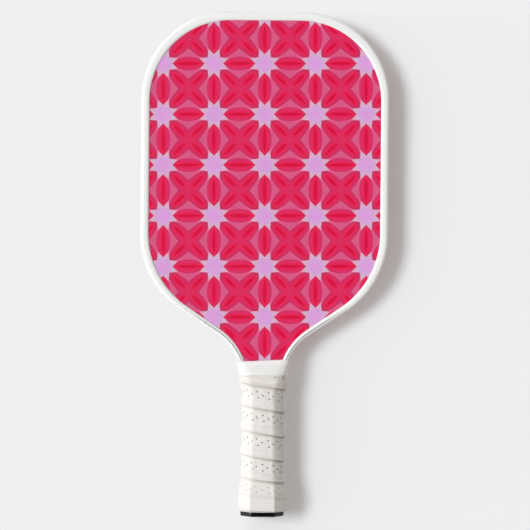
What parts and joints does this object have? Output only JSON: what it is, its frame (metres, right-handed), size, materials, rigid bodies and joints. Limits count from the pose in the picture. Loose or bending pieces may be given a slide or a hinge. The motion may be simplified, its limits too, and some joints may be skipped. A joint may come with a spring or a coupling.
{
  "type": "pickleball paddle",
  "caption": "Flat composite paddle with a printed face, a moulded edge guard, a ribbed throat collar, a wrapped octagonal handle and a flared butt cap.",
  "frame": {"origin": "centre of the butt end's lowest plane, below the middle of the handle", "axes": "+Z along the handle towards the top of the blade, X across the blade's width, -Y out of the front face"},
  "size_m": [0.1968, 0.0348, 0.4],
  "materials": {
    "honeycomb": "extruded polypropylene honeycomb, open cells",
    "veil": "non-woven polyester scrim",
    "face_sheet": "woven glass fibre in resin",
    "printed_film": "satin film printed with a repeat of stars and petals",
    "guard": "satin moulded white plastic",
    "pallet": "moulded plastic, left rough under the wrap",
    "cap": "satin black moulded plastic",
    "disc": "plain domed sticker",
    "staple": "drawn steel wire",
    "wrap": "perforated cushioned synthetic leather",
    "tape": "thin adhesive tape",
    "collar": "matte white rubber with fine ribs"
  },
  "bodies": {
    "root": {"honeycomb_core": "honeycomb", "core_veil_front": "veil", "core_veil_back": "veil", "face_sheet_front": "face_sheet", "face_sheet_back": "face_sheet", "graphic_film_front": "printed_film", "graphic_film_back": "printed_film", "edge_guard": "guard", "handle_pallet_front": "pallet", "handle_pallet_back": "pallet", "butt_cap": "cap", "end_disc": "disc", "cap_staple_front": "staple", "cap_staple_back": "staple", "grip_wrap": "wrap", "finishing_tape": "tape", "grip_collar": "collar"}
  },
  "joints": []
}
